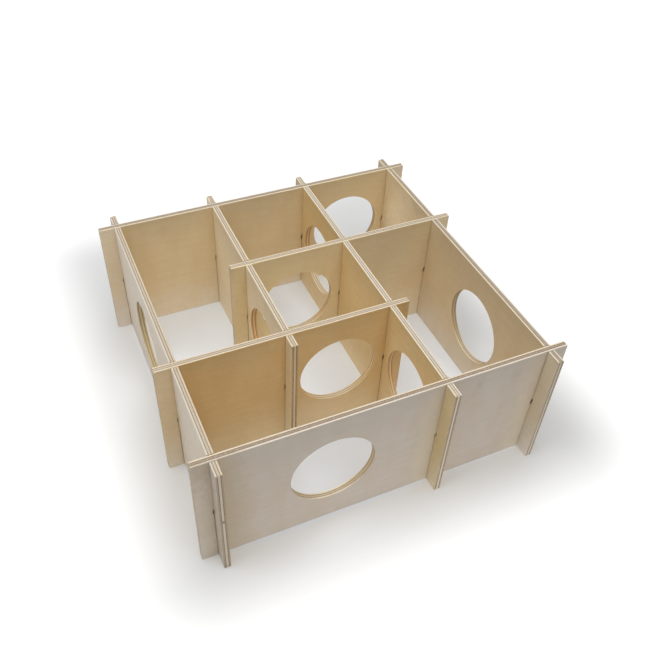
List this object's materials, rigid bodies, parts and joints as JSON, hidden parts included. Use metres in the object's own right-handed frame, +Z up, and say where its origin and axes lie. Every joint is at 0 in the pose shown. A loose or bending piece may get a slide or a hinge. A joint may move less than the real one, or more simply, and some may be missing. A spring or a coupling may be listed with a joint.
{
  "type": "hamster maze",
  "caption": "Open-topped wooden maze for a hamster: slotted plywood panels cross in half laps to make a square of rooms, linked by round doorways.",
  "frame": {"origin": "centre of the maze's footprint, on the floor that the panels stand on", "axes": "+X left to right along the across panels, +Y front to back along the depth panels, +Z up, the way the across panels lift off"},
  "size_m": [0.335, 0.335, 0.13],
  "materials": {
    "face_veneer": "bare sanded veneer",
    "core_veneer": "bare sawn veneer edge"
  },
  "bodies": {
    "depth_panels": {"left_wall_left_ply": "face_veneer", "left_wall_core_ply": "core_veneer", "left_wall_right_ply": "face_veneer", "inner_left_partition_left_ply": "face_veneer", "inner_left_partition_core_ply": "core_veneer", "inner_left_partition_right_ply": "face_veneer", "inner_right_partition_left_ply": "face_veneer", "inner_right_partition_core_ply": "core_veneer", "inner_right_partition_right_ply": "face_veneer", "right_wall_left_ply": "face_veneer", "right_wall_core_ply": "core_veneer", "right_wall_right_ply": "face_veneer"},
    "back_wall": {"back_wall_front_ply": "face_veneer", "back_wall_core_ply": "core_veneer", "back_wall_back_ply": "face_veneer"},
    "inner_back_partition": {"inner_back_partition_front_ply": "face_veneer", "inner_back_partition_core_ply": "core_veneer", "inner_back_partition_back_ply": "face_veneer"},
    "inner_front_partition": {"inner_front_partition_front_ply": "face_veneer", "inner_front_partition_core_ply": "core_veneer", "inner_front_partition_back_ply": "face_veneer"},
    "front_wall": {"front_wall_front_ply": "face_veneer", "front_wall_core_ply": "core_veneer", "front_wall_back_ply": "face_veneer"}
  },
  "joints": [
    {"name": "back_wall_lift", "type": "slide", "parent": "depth_panels", "child": "back_wall", "axis": [0, 0, 1], "range_m": [0, 0.135]},
    {"name": "inner_back_partition_lift", "type": "slide", "parent": "depth_panels", "child": "inner_back_partition", "axis": [0, 0, 1], "range_m": [0, 0.135]},
    {"name": "inner_front_partition_lift", "type": "slide", "parent": "depth_panels", "child": "inner_front_partition", "axis": [0, 0, 1], "range_m": [0, 0.135]},
    {"name": "front_wall_lift", "type": "slide", "parent": "depth_panels", "child": "front_wall", "axis": [0, 0, 1], "range_m": [0, 0.135]}
  ]
}
